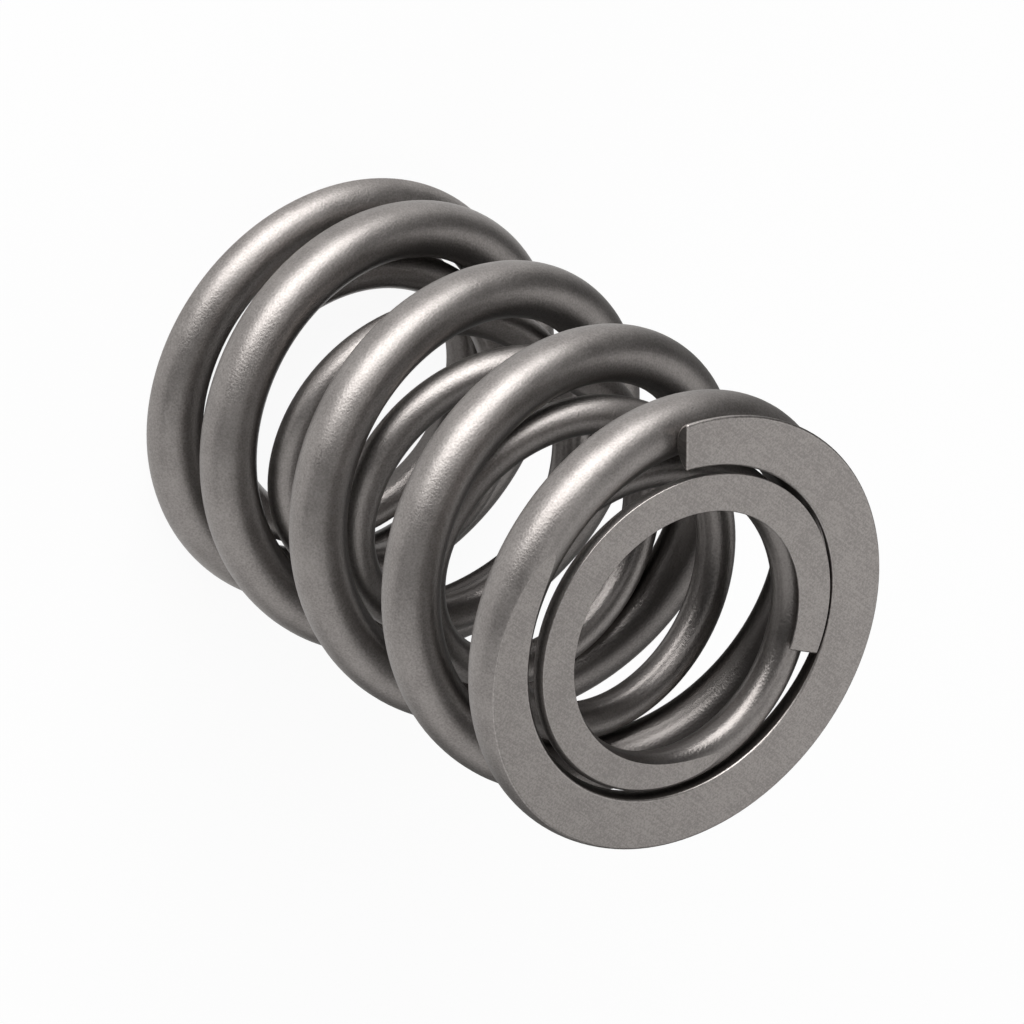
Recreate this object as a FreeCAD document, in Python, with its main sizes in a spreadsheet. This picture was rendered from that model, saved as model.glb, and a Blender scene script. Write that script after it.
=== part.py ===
import FreeCAD, Part

import math
import os

# Dual engine valve spring, in millimetres.
#
# Two compression springs of round wire stand one inside the other. The outer one is
# wound right-hand and the inner one left-hand, so their coils can't catch in each other.
# Each spring is closed and ground: its end turns lie almost wire on wire, and both
# ends are ground flat, which leaves a thin tip resting over the next turn.
#
# Frame: +Z along the common axis, origin at the middle of the lower ground end.
# Angles are in degrees, seen from above and counter-clockwise from +X.

doc = FreeCAD.newDocument("valve_spring")

# Driving dimensions
DIMENSIONS = [
    ("free_length", 50.6, "height over the ground ends of both springs"),
    ("outer_diameter", 37.0, "outside diameter of the outer spring"),
    ("nest_clearance", 0.33, "radial gap between the two springs when they are centred"),
    ("side_gap", 0.08, "gap left on the side to which the inner spring has shifted"),
    ("shift_angle", 280.0, "direction of that shift"),
    ("outer_wire", 4.6, "wire diameter"),
    ("outer_turns", 5.295, "turns from tip to tip"),
    ("outer_tip_angle", 44.3, "direction of the upper tip"),
    ("outer_foot_tip", 0.95, "wire left at the lower tip after grinding"),
    ("outer_foot_gap", 0.12, "gap between the lower tip and the turn above it"),
    ("outer_foot_closed", 0.73, "turns from the lower tip to where the pitch opens"),
    ("outer_foot_ramp", 0.72, "turns in which the pitch opens there"),
    ("outer_head_tip", 1.36, "wire left at the upper tip after grinding"),
    ("outer_head_gap", 0.08, "gap between the upper tip and the turn below it"),
    ("outer_head_closed", 0.77, "turns from the upper tip to where the pitch opens"),
    ("outer_head_ramp", 0.23, "turns in which the pitch opens there"),
    ("inner_wire", 3.13, "wire diameter"),
    ("inner_turns", 6.4, "turns from tip to tip"),
    ("inner_tip_angle", 290.5, "direction of the upper tip"),
    ("inner_foot_tip", 0.76, "wire left at the lower tip after grinding"),
    ("inner_foot_gap", 0.25, "gap between the lower tip and the turn above it"),
    ("inner_foot_closed", 0.84, "turns from the lower tip to where the pitch opens"),
    ("inner_foot_ramp", 0.15, "turns in which the pitch opens there"),
    ("inner_head_tip", 1.0, "wire left at the upper tip after grinding"),
    ("inner_head_gap", 0.06, "gap between the upper tip and the turn below it"),
    ("inner_head_closed", 0.72, "turns from the upper tip to where the pitch opens"),
    ("inner_head_ramp", 0.32, "turns in which the pitch opens there"),
]

sizes = doc.addObject("Spreadsheet::Sheet", "Sizes")
for row, (alias, value, note) in enumerate(DIMENSIONS, start=1):
    sizes.set("A%d" % row, alias)
    sizes.set("B%d" % row, str(value))
    sizes.set("C%d" % row, note)
    sizes.setAlias("B%d" % row, alias)
doc.recompute()

RIGHT_HAND = 1
LEFT_HAND = -1
FULL_TURN = 2.0 * math.pi


def size(alias):
    """A driving dimension, read from the sheet."""
    return float(sizes.get(alias))


class SpringEnd:
    """One end of a spring: the ground tip and the turn that closes onto the next."""

    def __init__(self, prefix):
        self.tip = size(prefix + "_tip")
        self.gap = size(prefix + "_gap")
        self.closed = size(prefix + "_closed")
        self.ramp = size(prefix + "_ramp")

    def opened(self):
        """Turns from the tip to where the full pitch is reached."""
        return self.closed + self.ramp

    def mean_closed(self):
        """Turns that would have the closed pitch if it opened in one step."""
        return self.closed + self.ramp / 2.0

    def opening_share(self):
        """How much of the opening falls in the first full turn, as a share of a turn."""
        if self.closed >= 1.0:
            return 0.0
        if self.opened() <= 1.0:
            return 1.0 - self.mean_closed()
        return (1.0 - self.closed) ** 2 / (2.0 * self.ramp)


def solve_pitches(foot, head, wire, turns, rise):
    """Closed pitch at the foot, open pitch, and closed pitch at the head.

    Each closed pitch puts the turn next to the tip one wire and one gap away from it,
    and the open pitch makes up the rest of the rise between the two tips.
    """
    foot_share = foot.opening_share()
    head_share = head.opening_share()
    foot_step = (wire + foot.gap) / (1.0 - foot_share)
    head_step = (wire + head.gap) / (1.0 - head_share)
    foot_loss = foot_share / (1.0 - foot_share)
    head_loss = head_share / (1.0 - head_share)
    open_turns = turns - foot.mean_closed() - head.mean_closed()
    open_turns -= foot.mean_closed() * foot_loss + head.mean_closed() * head_loss
    open_rise = rise - foot.mean_closed() * foot_step - head.mean_closed() * head_step
    open_pitch = open_rise / open_turns
    return foot_step - foot_loss * open_pitch, open_pitch, head_step - head_loss * open_pitch


def wound_edges(coil_radius, hand, start_angle, corners):
    """Edges of the wire's centre line on a cylinder of the coil's radius.

    A stretch of steady pitch is a straight line on the unrolled cylinder. A stretch in
    which the pitch changes evenly is a parabola, whose middle pole is where the
    lines on its two sides meet.
    """
    cylinder = Part.Cylinder()
    cylinder.Radius = coil_radius
    edges = []
    for stretch in corners:
        poles = [
            FreeCAD.Base.Vector2d(start_angle + hand * FULL_TURN * turn, height)
            for turn, height in stretch
        ]
        if len(poles) == 2:
            curve = Part.Geom2d.Line2dSegment(poles[0], poles[1])
        else:
            curve = Part.Geom2d.BezierCurve2d()
            curve.setPoles(poles)
        edges.append(curve.toShape(cylinder))
    return edges


def centre_line(prefix, hand, coil_radius):
    """Wire of the spring's centre line, from its lower tip to its upper tip."""
    wire = size(prefix + "_wire")
    turns = size(prefix + "_turns")
    foot = SpringEnd(prefix + "_foot")
    head = SpringEnd(prefix + "_head")
    bottom = foot.tip - wire / 2.0
    top = size("free_length") - head.tip + wire / 2.0
    foot_pitch, open_pitch, head_pitch = solve_pitches(foot, head, wire, turns, top - bottom)

    foot_rise = foot_pitch * foot.closed
    foot_bend = foot_rise + foot_pitch * foot.ramp / 2.0
    foot_open = foot_bend + open_pitch * foot.ramp / 2.0
    head_rise = head_pitch * head.closed
    head_bend = head_rise + head_pitch * head.ramp / 2.0
    head_open = head_bend + open_pitch * head.ramp / 2.0

    foot_corners = [
        (0.0, bottom),
        (foot.closed, bottom + foot_rise),
        (foot.mean_closed(), bottom + foot_bend),
        (foot.opened(), bottom + foot_open),
    ]
    head_corners = [
        (turns - head.opened(), top - head_open),
        (turns - head.mean_closed(), top - head_bend),
        (turns - head.closed, top - head_rise),
        (turns, top),
    ]
    stretches = [
        foot_corners[0:2],
        foot_corners[1:4],
        [foot_corners[3], head_corners[0]],
        head_corners[0:3],
        head_corners[2:4],
    ]
    tip_angle = math.radians(size(prefix + "_tip_angle"))
    start_angle = tip_angle - hand * FULL_TURN * turns
    return Part.Wire(wound_edges(coil_radius, hand, start_angle, stretches))


def build_spring(prefix, hand, coil_radius, place):
    """A closed and ground spring: wire swept along its coils, then cut to length."""
    path = doc.addObject("Part::Feature", prefix + "_path")
    path.Shape = centre_line(prefix, hand, coil_radius)
    path.Placement = place

    first_edge = path.Shape.Edges[0]
    start = first_edge.valueAt(first_edge.FirstParameter)
    direction = first_edge.tangentAt(first_edge.FirstParameter)
    section = doc.addObject("Part::Circle", prefix + "_section")
    section.setExpression("Radius", "Sizes.%s_wire / 2" % prefix)
    section.Placement = FreeCAD.Placement(start, FreeCAD.Rotation(FreeCAD.Vector(0, 0, 1), direction))

    coils = doc.addObject("Part::Sweep", prefix + "_coils")
    coils.Sections = [section]
    coils.Spine = (path, [])
    coils.Solid = True
    coils.Frenet = True

    grinding = doc.addObject("Part::Cylinder", prefix + "_grinding")
    grinding.setExpression("Radius", "Sizes.outer_diameter")
    grinding.setExpression("Height", "Sizes.free_length")

    spring = doc.addObject("Part::Common", prefix + "_spring")
    spring.Base = coils
    spring.Tool = grinding
    spring.Label = prefix + "_spring"
    doc.recompute()
    return spring


# Outer spring
outer_coil_radius = (size("outer_diameter") - size("outer_wire")) / 2.0
outer_spring = build_spring("outer", RIGHT_HAND, outer_coil_radius, FreeCAD.Placement())

# Inner spring, inside the outer one and shifted to one side of it
inner_outside_radius = size("outer_diameter") / 2.0 - size("outer_wire") - size("nest_clearance")
inner_coil_radius = inner_outside_radius - size("inner_wire") / 2.0
shift = size("nest_clearance") - size("side_gap")
shift_angle = math.radians(size("shift_angle"))
shift_vector = FreeCAD.Vector(shift * math.cos(shift_angle), shift * math.sin(shift_angle), 0)
inner_place = FreeCAD.Placement(shift_vector, FreeCAD.Rotation())
inner_spring = build_spring("inner", LEFT_HAND, inner_coil_radius, inner_place)

# Checks and files
springs = [outer_spring, inner_spring]
for item in doc.Objects:
    if "Invalid" in item.State or "Error" in item.State:
        raise RuntimeError("%s was not built: %s" % (item.Name, item.State))
for spring in springs:
    if spring.Shape.isNull() or not spring.Shape.isValid() or len(spring.Shape.Solids) != 1:
        raise RuntimeError("%s has no sound solid" % spring.Label)

os.makedirs("parts", exist_ok=True)
for spring in springs:
    spring.Shape.exportStep("parts/%s.step" % spring.Label)
    print(spring.Label, "volume", round(spring.Shape.Volume, 1), "mm3")
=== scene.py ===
"""Looks of a nested pair of engine valve springs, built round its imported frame.

Metres. +Z is the springs' common axis, and the lower ground ends stand on z = 0.
Angles are in degrees, seen from above and counter-clockwise from +X.
"""

import logging
import math
from dataclasses import dataclass, field
from enum import Enum
from typing import Any

import bpy
import numpy as np
from mathutils import Matrix, Vector


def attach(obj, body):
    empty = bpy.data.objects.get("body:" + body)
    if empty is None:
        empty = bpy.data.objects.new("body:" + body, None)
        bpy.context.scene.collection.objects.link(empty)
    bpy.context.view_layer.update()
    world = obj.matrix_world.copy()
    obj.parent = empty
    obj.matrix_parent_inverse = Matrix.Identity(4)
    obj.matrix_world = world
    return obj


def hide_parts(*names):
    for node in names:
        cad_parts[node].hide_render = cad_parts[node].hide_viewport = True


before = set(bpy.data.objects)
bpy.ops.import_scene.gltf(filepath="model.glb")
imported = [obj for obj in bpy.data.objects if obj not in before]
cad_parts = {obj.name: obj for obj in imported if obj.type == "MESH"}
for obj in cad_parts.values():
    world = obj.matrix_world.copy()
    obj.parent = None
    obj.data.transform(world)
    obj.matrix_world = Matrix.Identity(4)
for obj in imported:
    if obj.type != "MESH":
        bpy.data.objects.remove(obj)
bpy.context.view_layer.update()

LOG = logging.getLogger("valve_spring")
MM = 0.001
FULL_TURN = 2.0 * math.pi
Triple = tuple[float, float, float]
Span = tuple[float, float]
Colour = Triple
WHITE: Colour = (1.0, 1.0, 1.0)


class Hand(Enum):
    """Way in which a spring's turns climb."""

    RIGHT = 1
    LEFT = -1


class Surface(Enum):
    """Finishes that a spring's skin carries, in the order of its material slots."""

    PEENED = 0
    GROUND = 1
    EDGE = 2
    CUT = 3


# Shader writing

# Numbers of the sockets of a Mix node that mixes colours
MIX_FACTOR, MIX_LOW, MIX_HIGH, MIX_RESULT = 0, 6, 7, 2
# Factors that turn a place into the level way from it to the axis
TO_AXIS: Triple = (-1.0, -1.0, 0.0)


class Signal:
    """A shader socket whose maths is written as Python expressions."""

    def __init__(self, sheet: "ShaderSheet", socket: bpy.types.NodeSocket) -> None:
        """Wrap a socket.

        Args:
            sheet: The shader that the socket belongs to.
            socket: An output socket that carries one number a point.
        """
        self.sheet = sheet
        self.socket = socket

    def _math(self, operation: str, first: Any, second: Any) -> "Signal":
        """Add a Math node.

        Args:
            operation: Name of the Math node's operation.
            first: Its first value or signal.
            second: Its second value or signal.

        Returns:
            The node's result.
        """
        node = self.sheet.add("ShaderNodeMath", {"operation": operation}, {0: first, 1: second})
        return Signal(self.sheet, node.outputs[0])

    def __add__(self, other: Any) -> "Signal":
        """Sum with a number or a signal."""
        return self._math("ADD", self, other)

    def __radd__(self, other: Any) -> "Signal":
        """Sum with a number on the left."""
        return self._math("ADD", other, self)

    def __sub__(self, other: Any) -> "Signal":
        """Difference from a number or a signal."""
        return self._math("SUBTRACT", self, other)

    def __rsub__(self, other: Any) -> "Signal":
        """Difference of a number on the left."""
        return self._math("SUBTRACT", other, self)

    def __mul__(self, other: Any) -> "Signal":
        """Product with a number or a signal."""
        return self._math("MULTIPLY", self, other)

    def __rmul__(self, other: Any) -> "Signal":
        """Product with a number on the left."""
        return self._math("MULTIPLY", other, self)


def weigh(signals: list[Signal], shares: tuple[float, ...]) -> Signal:
    """Add signals up, each times its share.

    Args:
        signals: What is added.
        shares: Factor of each.

    Returns:
        The sum.
    """
    parts = [signal * share for signal, share in zip(signals, shares)]
    return sum(parts[1:], parts[0])


class ShaderSheet:
    """The node tree of one material, written from Python."""

    def __init__(self, name: str) -> None:
        """Start an empty material.

        Args:
            name: Name of the material.
        """
        self.material = bpy.data.materials.new(name)
        self.material.use_nodes = True
        self.tree = self.material.node_tree
        self.tree.nodes.clear()

    def add(
        self,
        kind: str,
        settings: dict[str, Any] | None = None,
        sockets: dict[Any, Any] | None = None,
    ) -> bpy.types.Node:
        """Add a node.

        Args:
            kind: Blender's type name of the node.
            settings: Properties of the node, set first. Stops go to its colour ramp.
            sockets: Values or links of its inputs, by name or number.

        Returns:
            The new node.
        """
        node = self.tree.nodes.new(kind)
        for key, value in (settings or {}).items():
            if key == "stops":
                self._set_stops(node.color_ramp, value)
            else:
                setattr(node, key, value)
        for key, value in (sockets or {}).items():
            if isinstance(value, Signal):
                self.tree.links.new(value.socket, node.inputs[key])
            elif isinstance(value, bpy.types.NodeSocket):
                self.tree.links.new(value, node.inputs[key])
            else:
                node.inputs[key].default_value = value
        return node

    def _set_stops(self, ramp: bpy.types.ColorRamp, stops: Span) -> None:
        """Move the black and the white stop of a new colour ramp.

        Args:
            ramp: The ramp to set.
            stops: Place of each stop.
        """
        for element, place in zip(ramp.elements, stops):
            element.position = place

    def place(self, stretch: Triple = (1.0, 1.0, 1.0)) -> bpy.types.NodeSocket:
        """Place on the object, in metres.

        Args:
            stretch: Factor on each axis.

        Returns:
            A vector socket.
        """
        coordinates = self.add("ShaderNodeTexCoord")
        mapping = self.add(
            "ShaderNodeMapping", {}, {"Vector": coordinates.outputs["Object"], "Scale": stretch}
        )
        return mapping.outputs["Vector"]

    def noise(
        self, where: bpy.types.NodeSocket, cell: float, detail: float = 2.0, roughness: float = 0.5
    ) -> Signal:
        """Soft noise.

        Args:
            where: Vector that places it.
            cell: Size of its largest features, in metres.
            detail: Octaves on top of them.
            roughness: Strength of those octaves.

        Returns:
            A signal from 0 to 1.
        """
        node = self.add(
            "ShaderNodeTexNoise",
            {},
            {"Vector": where, "Scale": 1.0 / cell, "Detail": detail, "Roughness": roughness},
        )
        return Signal(self, node.outputs["Fac"])

    def pits(self, where: bpy.types.NodeSocket, cell: float, softness: float) -> Signal:
        """Overlapping round dents, as shot leaves them.

        Args:
            where: Vector that places them.
            cell: Distance between dents, in metres.
            softness: How far they run into one another, from 0 to 1.

        Returns:
            A signal that is lowest in the middle of each dent.
        """
        node = self.add(
            "ShaderNodeTexVoronoi",
            {"feature": "SMOOTH_F1"},
            {"Vector": where, "Scale": 1.0 / cell, "Smoothness": softness},
        )
        return Signal(self, node.outputs["Distance"])

    def ramp(self, signal: Signal, span: Span) -> Signal:
        """Stretch a part of a signal to its full range.

        Args:
            signal: What is stretched.
            span: Where the result reaches 0, and where 1.

        Returns:
            The stretched signal.
        """
        node = self.add("ShaderNodeValToRGB", {"stops": span}, {"Fac": signal})
        return Signal(self, node.outputs["Color"])

    def blend(
        self, low: Colour | bpy.types.NodeSocket, high: Colour, factor: Signal
    ) -> bpy.types.NodeSocket:
        """Mix two colours.

        Args:
            low: Colour where the factor is 0, or a socket that carries it.
            high: Colour where the factor is 1.
            factor: Share of the second colour.

        Returns:
            A colour socket.
        """
        start = low if isinstance(low, bpy.types.NodeSocket) else (*low, 1.0)
        node = self.add(
            "ShaderNodeMix",
            {"data_type": "RGBA"},
            {MIX_FACTOR: factor, MIX_LOW: start, MIX_HIGH: (*high, 1.0)},
        )
        return node.outputs[MIX_RESULT]

    def along(
        self, vector: bpy.types.NodeSocket, way: Triple | bpy.types.NodeSocket
    ) -> Signal:
        """Share of a vector that lies along a direction.

        Args:
            vector: A vector socket.
            way: The direction, as three numbers or a vector socket of length 1.

        Returns:
            The length along it, with a minus sign if it points the other way.
        """
        node = self.add("ShaderNodeVectorMath", {"operation": "DOT_PRODUCT"}, {0: vector, 1: way})
        return Signal(self, node.outputs["Value"])

    def facing_axis(self) -> Signal:
        """How far the surface faces the springs' axis.

        Returns:
            A signal from -1, outward, to 1, inward.
        """
        coordinates = self.add("ShaderNodeTexCoord")
        level = self.add(
            "ShaderNodeVectorMath",
            {"operation": "MULTIPLY"},
            {0: coordinates.outputs["Object"], 1: TO_AXIS},
        )
        inward = self.add(
            "ShaderNodeVectorMath", {"operation": "NORMALIZE"}, {0: level.outputs["Vector"]}
        )
        return self.along(coordinates.outputs["Normal"], inward.outputs["Vector"])

    def relief(self, height: Signal, depth: float) -> bpy.types.NodeSocket:
        """Bump from a height signal.

        Args:
            height: Height of the surface, from 0 to 1.
            depth: What a height of 1 stands for, in metres.

        Returns:
            A normal socket.
        """
        node = self.add(
            "ShaderNodeBump", {}, {"Strength": 1.0, "Distance": depth, "Height": height}
        )
        return node.outputs["Normal"]

    def metal(
        self, colour: bpy.types.NodeSocket, roughness: Signal, normal: bpy.types.NodeSocket
    ) -> bpy.types.Material:
        """Close the tree with a bare metal surface.

        Args:
            colour: Colour of its reflections.
            roughness: Roughness at each point.
            normal: Normal at each point.

        Returns:
            The finished material.
        """
        shader = self.add(
            "ShaderNodeBsdfPrincipled",
            {},
            {"Base Color": colour, "Metallic": 1.0, "Roughness": roughness, "Normal": normal},
        )
        self.add("ShaderNodeOutputMaterial", {}, {"Surface": shader.outputs[0]})
        return self.material


# Finishes of the steel


@dataclass(frozen=True)
class PeenedSteel:
    """Round wire as the shot left it: satin, with fine overlapping dents.

    The sides that face the axis carry painted shade: a darker colour that stands for the
    shade inside the coils. They also stay smoother. The thick spring gets more of it than the thin
    one.
    The tone is shared between the cloud, the grit and the dents, and the relief between
    the dents and the grit.
    """

    name: str
    # Share of painted shade on the sides that face the axis
    painted_shade_cover: float
    shade: Colour = (0.210, 0.194, 0.185)
    light: Colour = (0.308, 0.288, 0.275)
    # Colour and spread of the painted shade on the sides that face the axis
    painted_shade: Colour = (0.090, 0.083, 0.079)
    painted_shade_span: Span = (0.10, 0.75)
    painted_shade_drift: float = 0.2
    tone_shares: Triple = (0.35, 0.45, 0.25)
    tone_span: Span = (0.36, 0.66)
    roughness: float = 0.40
    unevenness: float = 0.08
    smoothing: float = 0.10
    dent: float = 0.20 * MM
    dent_softness: float = 0.4
    relief_shares: tuple[float, float] = (0.7, 0.5)
    relief_depth: float = 0.015 * MM
    grit: float = 0.14 * MM
    cloud: float = 2.4 * MM

    def material(self) -> bpy.types.Material:
        """Build the finish.

        Returns:
            The material.
        """
        sheet = ShaderSheet(self.name)
        where = sheet.place()
        dents = sheet.pits(where, self.dent, self.dent_softness)
        grit = sheet.noise(where, self.grit, detail=1.0)
        cloud = sheet.noise(where, self.cloud, detail=3.0)
        tone = sheet.ramp(weigh([cloud, grit, dents], self.tone_shares), self.tone_span)
        # Painted shade: the sides that face the axis are darkened, where the inside of the coils
        # lies in shade
        inward = sheet.ramp(sheet.facing_axis() + cloud * self.painted_shade_drift, self.painted_shade_span)
        steel = sheet.blend(self.shade, self.light, tone)
        return sheet.metal(
            sheet.blend(steel, self.painted_shade, inward * self.painted_shade_cover),
            self.roughness + cloud * self.unevenness - inward * self.smoothing,
            sheet.relief(weigh([dents, grit], self.relief_shares), self.relief_depth),
        )


@dataclass(frozen=True)
class GroundSteel:
    """Flat end, finely ground: even and matt, with faint straight scratches.

    The tone is shared between the grain, the scratches and the cloud, and the relief
    between the grain and the scratches.
    """

    shade: Colour = (0.289, 0.269, 0.257)
    light: Colour = (0.388, 0.362, 0.345)
    tone_shares: Triple = (0.55, 0.25, 0.20)
    tone_span: Span = (0.42, 0.58)
    roughness: float = 0.46
    unevenness: float = 0.08
    relief_shares: tuple[float, float] = (0.6, 0.6)
    relief_depth: float = 0.010 * MM
    grain: float = 0.17 * MM
    scratch: float = 0.136 * MM
    scratch_stretch: Triple = (1.0, 0.04, 1.0)
    cloud: float = 3.0 * MM

    def material(self) -> bpy.types.Material:
        """Build the finish.

        Returns:
            The material.
        """
        sheet = ShaderSheet("ground_steel")
        where = sheet.place()
        grain = sheet.noise(where, self.grain, roughness=0.6)
        scratches = sheet.noise(sheet.place(self.scratch_stretch), self.scratch)
        cloud = sheet.noise(where, self.cloud)
        tone = sheet.ramp(weigh([grain, scratches, cloud], self.tone_shares), self.tone_span)
        return sheet.metal(
            sheet.blend(self.shade, self.light, tone),
            self.roughness + cloud * self.unevenness,
            sheet.relief(weigh([grain, scratches], self.relief_shares), self.relief_depth),
        )


@dataclass(frozen=True)
class GrainySteel:
    """Bare steel with a single grain, which the edges and the cut faces share."""

    name: str
    shade: Colour
    light: Colour
    tone_span: Span
    roughness: float
    grain: float
    relief_depth: float
    stretch: Triple = (1.0, 1.0, 1.0)
    unevenness: float = 0.1

    def material(self) -> bpy.types.Material:
        """Build the finish.

        Returns:
            The material.
        """
        sheet = ShaderSheet(self.name)
        grain = sheet.noise(sheet.place(self.stretch), self.grain, detail=3.0, roughness=0.6)
        return sheet.metal(
            sheet.blend(self.shade, self.light, sheet.ramp(grain, self.tone_span)),
            self.roughness + grain * self.unevenness,
            sheet.relief(grain, self.relief_depth),
        )


@dataclass(frozen=True)
class WornEdge(GrainySteel):
    """Edge of a ground end, with its burr gone: the metal shows a little brighter there."""

    name: str = "worn_edge"
    shade: Colour = (0.268, 0.249, 0.238)
    light: Colour = (0.380, 0.355, 0.338)
    tone_span: Span = (0.38, 0.62)
    roughness: float = 0.34
    grain: float = 0.25 * MM
    relief_depth: float = 0.004 * MM


@dataclass(frozen=True)
class CutSteel(GrainySteel):
    """Cut face of a tip: darker, with upright marks of the shear."""

    name: str = "cut_steel"
    shade: Colour = (0.085, 0.079, 0.075)
    light: Colour = (0.150, 0.140, 0.133)
    tone_span: Span = (0.32, 0.68)
    roughness: float = 0.48
    grain: float = 0.22 * MM
    relief_depth: float = 0.012 * MM
    stretch: Triple = (1.0, 1.0, 0.15)


# Springs

# Places along a spring at which the ends of its flats are looked for
SEARCH_PLACES = 20001
# Extra rings beside the end of each flat
CLOSE_RINGS = 5
# Share of a step under which an even ring is too near the end of a flat
CROWDING = 0.8
# Digits of a turn to which two rings are told apart
RING_DIGITS = 9
# Millimetres under which the grinding only touches the wire
TOUCH = 1e-7
# Smallest rounding of a flat's edge, in millimetres
LEAST_EDGE = 0.03
# Angle between the lowest points of the section where there is no flat
FREE_STEP = math.radians(2.5)


@dataclass(frozen=True)
class SpringEnd:
    """One end of a spring: the ground tip and the turn that closes onto the next."""

    tip: float
    gap: float
    closed: float
    ramp: float

    def mean_closed(self) -> float:
        """Turns that would have the closed pitch if it opened in one step."""
        return self.closed + self.ramp / 2.0

    def opening_share(self) -> float:
        """How much of the opening falls in the first full turn.

        Returns:
            The amount, as a share of a turn.
        """
        if self.closed >= 1.0:
            return 0.0
        if self.closed + self.ramp <= 1.0:
            return 1.0 - self.mean_closed()
        return (1.0 - self.closed) ** 2 / (2.0 * self.ramp)

    def openness(self, turns: np.ndarray) -> np.ndarray:
        """How far the pitch has opened.

        Args:
            turns: Distances from the tip, in turns.

        Returns:
            0 where the pitch is closed and 1 where it is open.
        """
        return np.clip((turns - self.closed) / self.ramp, 0.0, 1.0)

    def closed_until(self, turns: np.ndarray) -> np.ndarray:
        """Turns wound at the closed pitch between the tip and each place.

        Args:
            turns: Distances from the tip, in turns.

        Returns:
            The closed share of each distance.
        """
        opening = np.clip(turns - self.closed, 0.0, self.ramp)
        opened = np.clip(turns - self.closed - self.ramp, 0.0, None)
        return turns - opening**2 / (2.0 * self.ramp) - opened


@dataclass
class Outline:
    """Half of the wire's section on every ring, from its lowest point to its highest.

    The reach is measured across from the wire's centre and the rise along the section.
    The flats tell which rings are ground below and above.
    """

    reach: np.ndarray
    rise: np.ndarray
    reach_normal: np.ndarray
    rise_normal: np.ndarray
    low_flat: np.ndarray
    high_flat: np.ndarray


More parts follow.
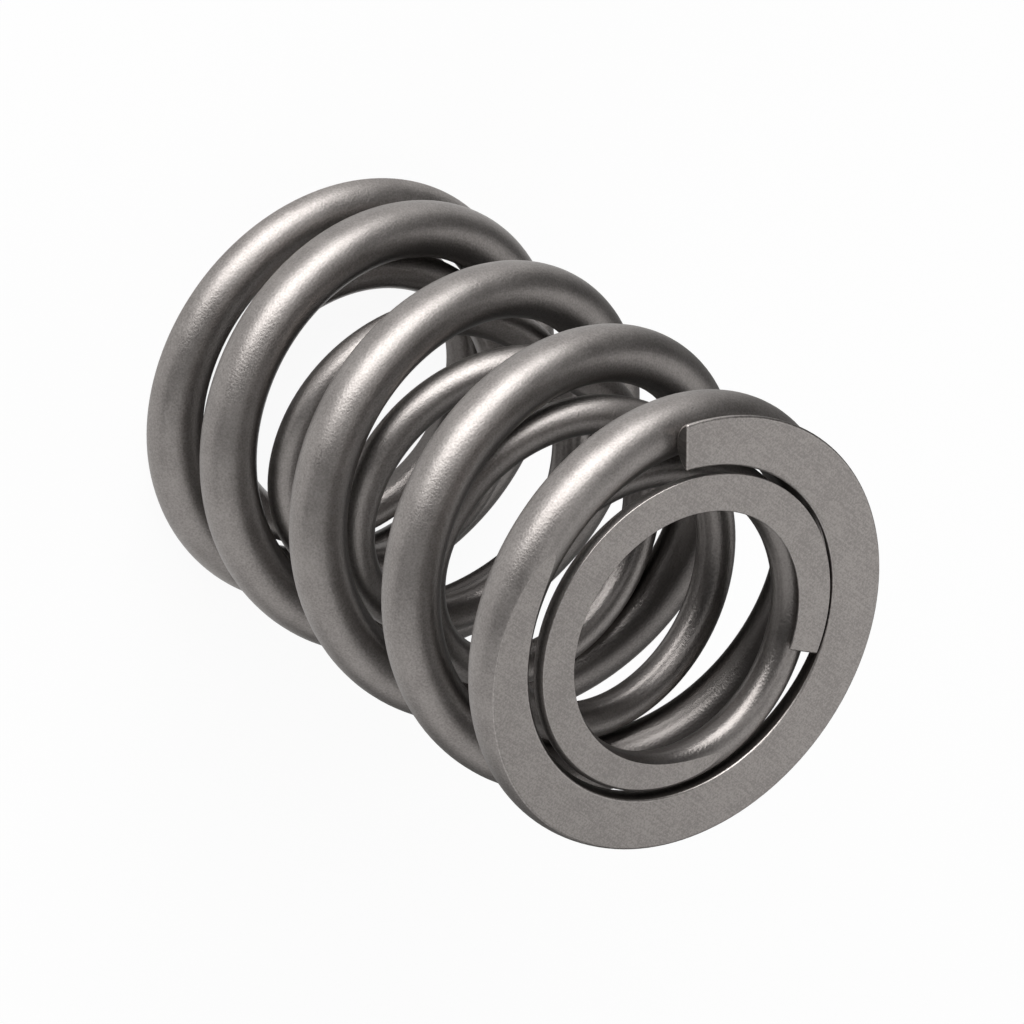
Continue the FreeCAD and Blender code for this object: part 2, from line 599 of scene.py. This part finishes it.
@dataclass
class GroundSpring:
    """A compression spring of round wire with closed ends ground flat, in millimetres."""

    node: str
    hand: Hand
    wire: float
    coil_radius: float
    turns: float
    tip_angle: float
    free_length: float
    foot: SpringEnd
    head: SpringEnd
    centre: tuple[float, float] = (0.0, 0.0)
    rings_per_turn: int = 144
    arc_steps: int = 20
    edge_steps: int = 5
    edge_radius: float = 0.20
    end_radius: float = 0.16
    end_steps: int = 4

    def __post_init__(self) -> None:
        """Work out the three pitches of the winding."""
        self.bottom = self.foot.tip - self.wire / 2.0
        self.top = self.free_length - self.head.tip + self.wire / 2.0
        foot_share = self.foot.opening_share()
        head_share = self.head.opening_share()
        foot_step = (self.wire + self.foot.gap) / (1.0 - foot_share)
        head_step = (self.wire + self.head.gap) / (1.0 - head_share)
        foot_loss = foot_share / (1.0 - foot_share)
        head_loss = head_share / (1.0 - head_share)
        foot_turns = self.foot.mean_closed()
        head_turns = self.head.mean_closed()
        rise = self.top - self.bottom - foot_turns * foot_step - head_turns * head_step
        open_turns = self.turns - foot_turns * (1.0 + foot_loss) - head_turns * (1.0 + head_loss)
        self.open_pitch = rise / open_turns
        self.foot_pitch = foot_step - foot_loss * self.open_pitch
        self.head_pitch = head_step - head_loss * self.open_pitch

    def height(self, turn: np.ndarray) -> np.ndarray:
        """Height of the wire's centre line.

        Args:
            turn: Places along the spring, in turns from the lower tip.

        Returns:
            Their heights.
        """
        at_head = self.head.closed_until(np.full(1, self.turns)) - self.head.closed_until(
            self.turns - turn
        )
        return (
            self.bottom
            + self.open_pitch * turn
            + (self.foot_pitch - self.open_pitch) * self.foot.closed_until(turn)
            + (self.head_pitch - self.open_pitch) * at_head
        )

    def pitch(self, turn: np.ndarray) -> np.ndarray:
        """Rise of the centre line a turn.

        Args:
            turn: Places along the spring, in turns from the lower tip.

        Returns:
            The pitch at each.
        """
        foot = (self.foot_pitch - self.open_pitch) * (1.0 - self.foot.openness(turn))
        head = (self.head_pitch - self.open_pitch) * (1.0 - self.head.openness(self.turns - turn))
        return self.open_pitch + foot + head

    def stations(self) -> tuple[np.ndarray, np.ndarray]:
        """Places of the rings, closer together at the tips and where the flats run out.

        Returns:
            The turn of each ring, and how far round the tip's rounding it lies, from 0 to 1
            with a minus sign at the lower tip.
        """
        fine = np.linspace(0.0, self.turns, SEARCH_PLACES)
        lean = self.lean(fine)
        low_touch = self.height(fine) - self.wire / 2.0 * lean
        high_touch = self.height(fine) + self.wire / 2.0 * lean
        foot_end = float(fine[np.argmax(low_touch >= 0.0)])
        head_end = float(fine[len(fine) - 1 - np.argmax(high_touch[::-1] <= self.free_length)])
        step = 1.0 / self.rings_per_turn
        close = step * (np.arange(1, CLOSE_RINGS + 1) / (CLOSE_RINGS + 1)) ** 2
        length = math.hypot(FULL_TURN * self.coil_radius, self.foot_pitch)
        tip_length = self.end_radius / length
        even = np.linspace(tip_length, self.turns - tip_length, round(self.turns / step) + 1)
        near = np.minimum(np.abs(even - foot_end), np.abs(even - head_end))
        even = even[(near > step * CROWDING) | (even == even[0]) | (even == even[-1])]
        body = np.concatenate([even, [foot_end, head_end], foot_end - close, head_end + close])
        body = np.unique(np.round(body, RING_DIGITS))
        bend = np.arange(1, self.end_steps + 1) / self.end_steps
        ahead = tip_length * (1.0 - np.sin(bend * math.pi / 2.0))
        turns = np.concatenate([ahead[::-1], body, self.turns - ahead])
        rounding = np.concatenate([-bend[::-1], np.zeros(len(body)), bend])
        return turns, rounding

    def lean(self, turn: np.ndarray) -> np.ndarray:
        """Upright share of the wire's section, which leans with the pitch.

        Args:
            turn: Places along the spring, in turns from the lower tip.

        Returns:
            The cosine of the lean at each.
        """
        around = FULL_TURN * self.coil_radius
        return around / np.hypot(around, self.pitch(turn))

    def outline(self, turn: np.ndarray, rounding: np.ndarray) -> Outline:
        """Half sections of the wire, with the flats and their rounded edges.

        Args:
            turn: Place of each ring.
            rounding: How far round the tip's rounding it lies.

        Returns:
            The half section on every ring.
        """
        inset = self.end_radius * (1.0 - np.cos(np.abs(rounding) * math.pi / 2.0))
        radius = self.wire / 2.0 - inset
        lean = self.lean(turn)
        height = self.height(turn)
        low = -height / lean + inset
        high = (self.free_length - height) / lean - inset
        low_flat = low > -radius + TOUCH
        high_flat = high < radius - TOUCH
        edge = np.maximum(self.edge_radius - inset, LEAST_EDGE)
        low_start, low_points = self._corner(low, radius, edge, low_flat)
        high_start, high_points = self._corner(-high, radius, edge, high_flat)
        share = np.arange(1, self.arc_steps)[None, :] / self.arc_steps
        start = low_start[:, None]
        end = -high_start[:, None]
        angle = start + (end - start) * share
        arc = np.stack(
            [
                radius[:, None] * np.cos(angle),
                radius[:, None] * np.sin(angle),
                np.cos(angle),
                np.sin(angle),
            ]
        )
        high_points = high_points[:, :, ::-1] * np.array([1.0, -1.0, 1.0, -1.0])[:, None, None]
        whole = np.concatenate([low_points, arc, high_points], axis=2)
        return Outline(whole[0], whole[1], whole[2], whole[3], low_flat, high_flat)

    def _corner(
        self, level: np.ndarray, radius: np.ndarray, edge: np.ndarray, flat: np.ndarray
    ) -> tuple[np.ndarray, np.ndarray]:
        """Lowest corner of each half section: a rounded edge, or round wire where no flat is.

        Args:
            level: Height of the flat in the section, below the wire's centre.
            radius: Radius of the wire.
            edge: Radius of the rounding.
            flat: Where there is a flat.

        Returns:
            The angle at which the round wire starts, and the corner's points with their normals.
        """
        middle = np.where(flat, level + edge, 0.0)
        reach = np.sqrt(np.maximum((radius - edge) ** 2 - middle**2, 0.0))
        free_start = -math.pi / 2.0 + FREE_STEP * self.edge_steps
        start = np.where(flat, np.arctan2(middle, reach), free_start)
        share = np.arange(self.edge_steps + 1)[None, :] / self.edge_steps
        angle = -math.pi / 2.0 + (start[:, None] + math.pi / 2.0) * share
        turn_radius = np.where(flat, edge, radius)[:, None]
        across = np.where(flat, reach, 0.0)[:, None] + turn_radius * np.cos(angle)
        up = middle[:, None] + turn_radius * np.sin(angle)
        across[:, 0] = np.where(flat, reach, 0.0)
        return start, np.stack([across, up, np.cos(angle), np.sin(angle)])

    def skin(self) -> tuple[np.ndarray, np.ndarray, list[list[int]], list[int]]:
        """Points, normals, faces and finishes of the whole spring.

        Returns:
            The points in millimetres, their normals, the faces and the finish of each.
        """
        turn, rounding = self.stations()
        line = self.outline(turn, rounding)
        rings, points = line.reach.shape
        hand = self.hand.value
        start = math.radians(self.tip_angle) - hand * FULL_TURN * self.turns
        angle = start + hand * FULL_TURN * turn
        outward = np.stack([np.cos(angle), np.sin(angle), np.zeros(rings)], axis=1)
        level = np.stack([-np.sin(angle), np.cos(angle), np.zeros(rings)], axis=1) * hand
        up = np.array([0.0, 0.0, 1.0])
        lean = self.lean(turn)[:, None]
        climb = np.sqrt(np.maximum(1.0 - lean**2, 0.0))
        along = level * lean + up * climb
        above = up * lean - level * climb
        centre = outward * self.coil_radius + up * self.height(turn)[:, None]
        centre[:, 0] += self.centre[0]
        centre[:, 1] += self.centre[1]

        bend = rounding[:, None, None] * math.pi / 2.0
        corner = np.ones((rings, points), dtype=bool)
        corner[:, self.edge_steps + 1 : points - self.edge_steps - 1] = False
        low_side = np.arange(points)[None, :] < points // 2
        on_edge = corner & np.where(low_side, line.low_flat[:, None], line.high_flat[:, None])
        sides = []
        for side in (1.0, -1.0):
            spot = (
                centre[:, None, :]
                + outward[:, None, :] * (side * line.reach)[:, :, None]
                + above[:, None, :] * line.rise[:, :, None]
            )
            upright = np.where(on_edge[:, :, None], up, above[:, None, :])
            normal = (
                outward[:, None, :] * (side * line.reach_normal)[:, :, None]
                + upright * line.rise_normal[:, :, None]
            )
            normal = normal * np.cos(bend) + along[:, None, :] * np.sin(bend)
            sides.append((spot, normal))

        outer = np.arange(rings * points).reshape(rings, points)
        inner = outer + rings * points
        inner[:, 0] = np.where(line.low_flat, inner[:, 0], outer[:, 0])
        inner[:, -1] = np.where(line.high_flat, inner[:, -1], outer[:, -1])
        spots = np.concatenate([sides[0][0].reshape(-1, 3), sides[1][0].reshape(-1, 3)])
        normals = np.concatenate([sides[0][1].reshape(-1, 3), sides[1][1].reshape(-1, 3)])
        normals /= np.linalg.norm(normals, axis=1)[:, None]
        faces, finishes = self._faces(outer, inner, line, rounding)
        return self._used(spots, normals, faces, finishes)

    def _faces(
        self, outer: np.ndarray, inner: np.ndarray, line: Outline, rounding: np.ndarray
    ) -> tuple[list[list[int]], list[int]]:
        """Faces between neighbouring rings, the flats and the two cut ends.

        Args:
            outer: Point numbers on the half section away from the axis.
            inner: Point numbers on the other half section.
            line: The half sections.
            rounding: How far round the tips' rounding each ring lies.

        Returns:
            The faces and the finish of each.
        """
        rings, points = outer.shape
        faces: list[list[int]] = []
        finishes: list[int] = []

        def quad(side: np.ndarray, ring: int, step: int) -> list[int]:
            """Corners between a ring and the next, and between a point and the next."""
            low, high = side[ring : ring + 2, step : step + 2]
            return [low[0], high[0], high[1], low[1]]

        def put(corners: list[int], finish: Surface) -> None:
            """Add a face, without corners that meet.

            Args:
                corners: Point numbers, which may repeat.
                finish: Finish of the face.
            """
            kept = [c for i, c in enumerate(corners) if c != corners[i - 1]]
            if len(kept) > 2:
                faces.append([int(c) for c in kept])
                finishes.append(finish.value)

        for ring in range(rings - 1):
            after = ring + 1
            at_tip = rounding[ring] != 0.0 or rounding[after] != 0.0
            low_cut = bool(line.low_flat[ring] and line.low_flat[after])
            high_cut = bool(line.high_flat[ring] and line.high_flat[after])
            for step in range(points - 1):
                low_edge = low_cut and step < self.edge_steps
                high_edge = high_cut and step >= points - 1 - self.edge_steps
                finish = Surface.EDGE if low_edge or high_edge or at_tip else Surface.PEENED
                put(quad(outer, ring, step), finish)
                put(quad(inner, ring, step)[::-1], finish)
            flat = Surface.EDGE if at_tip else Surface.GROUND
            if line.low_flat[ring] or line.low_flat[after]:
                put([inner[ring, 0], inner[after, 0], outer[after, 0], outer[ring, 0]], flat)
            if line.high_flat[ring] or line.high_flat[after]:
                put([outer[ring, -1], outer[after, -1], inner[after, -1], inner[ring, -1]], flat)
        for ring in (0, rings - 1):
            rim = list(outer[ring]) + list(inner[ring][::-1])
            put(rim if ring == 0 else rim[::-1], Surface.CUT)
        return faces, finishes

    def _used(
        self,
        spots: np.ndarray,
        normals: np.ndarray,
        faces: list[list[int]],
        finishes: list[int],
    ) -> tuple[np.ndarray, np.ndarray, list[list[int]], list[int]]:
        """Drop the points that no face has, and turn a left-hand skin right side out.

        Args:
            spots: Points.
            normals: Their normals.
            faces: Faces as point numbers.
            finishes: Finish of each face.

        Returns:
            The same four, with the kept points numbered afresh.
        """
        used = np.unique(np.concatenate([np.array(face) for face in faces]))
        number = np.full(len(spots), -1)
        number[used] = np.arange(len(used))
        faces = [[int(number[c]) for c in face] for face in faces]
        if self.hand is Hand.LEFT:
            faces = [face[::-1] for face in faces]
        return spots[used], normals[used], faces, finishes

    def build(self, finishes: dict[Surface, bpy.types.Material]) -> bpy.types.Object:
        """Make the spring and put it in the place of its frame node.

        Args:
            finishes: Material of each surface.

        Returns:
            The finished object.
        """
        spots, normals, faces, surfaces = self.skin()
        mesh = bpy.data.meshes.new(self.node + "_skin")
        mesh.from_pydata((spots * MM).tolist(), [], faces)
        for surface in Surface:
            mesh.materials.append(finishes[surface])
        mesh.polygons.foreach_set("material_index", surfaces)
        mesh.polygons.foreach_set("use_smooth", [True] * len(faces))
        mesh.update()
        mesh.normals_split_custom_set_from_vertices(normals.tolist())
        spring = bpy.data.objects.new(self.node + "_skin", mesh)
        bpy.context.scene.collection.objects.link(spring)
        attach(spring, "root")
        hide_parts(self.node)
        triangles = sum(len(face) - 2 for face in faces)
        LOG.info("%s: %d triangles, open pitch %.2f mm", self.node, triangles, self.open_pitch)
        return spring


@dataclass
class ValveSpringSet:
    """The outer and the inner spring, one inside the other."""

    outer_diameter: float = 37.0
    free_length: float = 50.6
    nest_clearance: float = 0.33
    side_gap: float = 0.08
    shift_angle: float = 280.0
    outer_wire: float = 4.6
    inner_wire: float = 3.13
    made: list[bpy.types.Object] = field(default_factory=list)

    def outer(self) -> GroundSpring:
        """The thick spring, wound right-hand.

        Returns:
            Its description.
        """
        return GroundSpring(
            node="outer_spring",
            hand=Hand.RIGHT,
            wire=self.outer_wire,
            coil_radius=(self.outer_diameter - self.outer_wire) / 2.0,
            turns=5.295,
            tip_angle=44.3,
            free_length=self.free_length,
            foot=SpringEnd(tip=0.95, gap=0.12, closed=0.73, ramp=0.72),
            head=SpringEnd(tip=1.36, gap=0.08, closed=0.77, ramp=0.23),
        )

    def inner(self) -> GroundSpring:
        """The thin spring, wound left-hand and shifted to one side.

        Returns:
            Its description.
        """
        outside = self.outer_diameter / 2.0 - self.outer_wire - self.nest_clearance
        shift = self.nest_clearance - self.side_gap
        angle = math.radians(self.shift_angle)
        return GroundSpring(
            node="inner_spring",
            hand=Hand.LEFT,
            wire=self.inner_wire,
            coil_radius=outside - self.inner_wire / 2.0,
            turns=6.4,
            tip_angle=290.5,
            free_length=self.free_length,
            foot=SpringEnd(tip=0.76, gap=0.25, closed=0.84, ramp=0.15),
            head=SpringEnd(tip=1.0, gap=0.06, closed=0.72, ramp=0.32),
            centre=(shift * math.cos(angle), shift * math.sin(angle)),
            rings_per_turn=120,
            arc_steps=18,
            edge_radius=0.08,
            end_radius=0.13,
        )

    def build(self) -> None:
        """Build and dress both springs."""
        ends = {
            Surface.GROUND: GroundSteel().material(),
            Surface.EDGE: WornEdge().material(),
            Surface.CUT: CutSteel().material(),
        }
        # Each spring's share of painted shade on the sides that face the axis
        thick = PeenedSteel("outer_peened_steel", painted_shade_cover=0.80)
        thin = PeenedSteel("inner_peened_steel", painted_shade_cover=0.50)
        for spring, wire in ((self.outer(), thick), (self.inner(), thin)):
            self.made.append(spring.build({Surface.PEENED: wire.material(), **ends}))


# Studio


@dataclass(frozen=True)
class Axes:
    """Three directions at right angles: to the right, upward and towards the viewer."""

    right: Vector
    upward: Vector
    back: Vector

    def turned(self, turn: float, lift: float) -> "Axes":
        """The same axes carried round the object.

        Args:
            turn: Degrees to the right.
            lift: Degrees upward.

        Returns:
            Axes that look at the object from there.
        """
        side = math.radians(turn)
        rise = math.radians(lift)
        level = self.upward * math.sin(rise) + self.back * math.cos(rise)
        upward = self.upward * math.cos(rise) - self.back * math.sin(rise)
        back = self.right * math.sin(side) + level * math.cos(side)
        return Axes(upward.cross(back), upward, back)

    def matrix(self, place: Vector) -> Matrix:
        """Placing of an object that looks along these axes.

        Args:
            place: Where it stands.

        Returns:
            Its matrix.
        """
        turn = Matrix((self.right, self.upward, self.back)).transposed()
        return Matrix.Translation(place) @ turn.to_4x4()


@dataclass(frozen=True)
class Softbox:
    """A large diffused lamp that faces the object, placed from the camera's line of view."""

    name: str
    turn: float
    lift: float
    distance: float
    width: float
    height: float
    radiance: float

    def build(self, aim: Vector, view: Axes) -> None:
        """Hang the lamp.

        Args:
            aim: Point that it faces.
            view: The camera's axes.
        """
        data = bpy.data.lights.new(self.name, "AREA")
        data.shape = "RECTANGLE"
        data.size = self.width
        data.size_y = self.height
        data.energy = self.radiance * math.pi * self.width * self.height
        lamp = bpy.data.objects.new(self.name, data)
        axes = view.turned(self.turn, self.lift)
        lamp.matrix_world = axes.matrix(aim + axes.back * self.distance)
        lamp.visible_camera = False
        bpy.context.scene.collection.objects.link(lamp)


@dataclass(frozen=True)
class Floor:
    """White paper sweep, which stays white to the eye and keeps the shadow.

    Metal mirrors it white on one side of the springs. On the other side, painted shade in its
    reflections fades it to dark.
    """

    radius: float = 3.0
    sides: int = 48
    paper: Colour = (0.85, 0.85, 0.85)
    seen_share: float = 0.93
    mirrored_share: float = 0.74
    # Way, width and span of the painted shade that darkens the paper in reflections
    bright_way: Triple = (0.0, 1.0, 0.0)
    fade: float = 0.080
    fade_span: Span = (0.05, 0.50)

    def build(self) -> None:
        """Lay the floor."""
        mesh = bpy.data.meshes.new("floor")
        angles = [FULL_TURN * i / self.sides for i in range(self.sides)]
        rim = [(self.radius * math.cos(a), self.radius * math.sin(a), 0.0) for a in angles]
        mesh.from_pydata(rim, [], [list(range(self.sides))])
        mesh.materials.append(self.material())
        floor = bpy.data.objects.new("floor", mesh)
        bpy.context.scene.collection.objects.link(floor)

    def material(self) -> bpy.types.Material:
        """Paper that shows white to the camera, with painted shade on one side in reflections.

        Returns:
            The material.
        """
        sheet = ShaderSheet("paper")
        rays = sheet.add("ShaderNodeLightPath")
        seen = Signal(sheet, rays.outputs["Is Camera Ray"])
        mirrored = Signal(sheet, rays.outputs["Is Glossy Ray"])
        passed = Signal(sheet, rays.outputs["Is Transmission Ray"])
        paper = sheet.add("ShaderNodeBsdfDiffuse", {}, {"Color": (*self.paper, 1.0)})
        # Painted shade in reflections: the mirrored paper gets darker towards -Y
        side = sheet.along(sheet.place(), self.bright_way) * (1.0 / self.fade) + 0.5
        painted_reflection_tone = sheet.ramp(side, self.fade_span)
        tone = sheet.blend(painted_reflection_tone.socket, WHITE, seen)
        glow = sheet.add("ShaderNodeEmission", {}, {"Color": tone, "Strength": 1.0})
        share = seen * self.seen_share + (mirrored + passed) * self.mirrored_share
        mix = sheet.add(
            "ShaderNodeMixShader", {}, {0: share, 1: paper.outputs[0], 2: glow.outputs[0]}
        )
        sheet.add("ShaderNodeOutputMaterial", {}, {"Surface": mix.outputs[0]})
        return sheet.material


@dataclass(frozen=True)
class Sky:
    """Even light from all round."""

    level: float = 0.05

    def build(self) -> None:
        """Set the world's light."""
        world = bpy.data.worlds.new("studio")
        world.use_nodes = True
        background = world.node_tree.nodes["Background"]
        background.inputs["Color"].default_value = (*WHITE, 1.0)
        background.inputs["Strength"].default_value = self.level
        bpy.context.scene.world = world


@dataclass(frozen=True)
class StudioCamera:
    """Long lens above the springs, rolled so that their axis slopes across the picture."""

    aim: Triple
    azimuth: float
    elevation: float
    distance: float
    roll: float
    lens: float
    sensor: float = 36.0
    nearest: float = 0.01
    farthest: float = 20.0

    def axes(self) -> Axes:
        """The picture's right and upward directions, and the one back to the camera.

        Returns:
            The three directions.
        """
        side = math.radians(self.azimuth)
        rise = math.radians(self.elevation)
        flat = Vector((math.cos(side), math.sin(side), 0.0))
        back = flat * math.cos(rise) + Vector((0.0, 0.0, math.sin(rise)))
        level = Vector((0.0, 0.0, 1.0)).cross(back).normalized()
        roll = math.radians(self.roll)
        right = level * math.cos(roll) + back.cross(level) * math.sin(roll)
        return Axes(right, back.cross(right), back)

    def build(self) -> None:
        """Make the camera and set it as the scene's."""
        data = bpy.data.cameras.new("camera")
        data.sensor_width = self.sensor
        data.lens = self.lens
        data.clip_start = self.nearest
        data.clip_end = self.farthest
        camera = bpy.data.objects.new("camera", data)
        axes = self.axes()
        camera.matrix_world = axes.matrix(Vector(self.aim) + axes.back * self.distance)
        bpy.context.scene.collection.objects.link(camera)
        bpy.context.scene.camera = camera


@dataclass(frozen=True)
class Studio:
    """Floor, lights and camera."""

    camera: StudioCamera = StudioCamera(
        aim=(-0.0000662, -0.0004657, 0.0257257),
        azimuth=90.0,
        elevation=47.5667,
        distance=0.567647,
        roll=125.4588,
        lens=250.199,
    )
    aim: Triple = (0.0, 0.0, 0.025)
    # Name, turn, lift, distance, width, height and radiance
    softboxes: tuple[Softbox, ...] = (
        Softbox("key_softbox", -4.0, 48.0, 0.60, 0.80, 0.67, 6.3),
        Softbox("top_softbox", 37.0, -18.0, 0.60, 0.26, 0.62, 1.15),
        Softbox("fill_softbox", -10.0, -70.0, 0.60, 1.00, 0.90, 0.94),
        Softbox("end_softbox", 70.0, -90.0, 0.30, 0.26, 0.28, 1.00),
    )

    def build(self) -> None:
        """Set the whole studio up."""
        bpy.context.scene.view_settings.view_transform = "Standard"
        Floor().build()
        Sky().build()
        for softbox in self.softboxes:
            softbox.build(Vector(self.aim), self.camera.axes())
        self.camera.build()


def main() -> None:
    """Build the springs and the studio."""
    logging.basicConfig(level=logging.INFO, format="%(name)s: %(message)s")
    springs = ValveSpringSet()
    springs.build()
    LOG.info("springs: %d pieces dressed", len(springs.made))
    Studio().build()
    LOG.info("studio: floor, lights and camera in place")


if __name__ == "__main__":
    main()
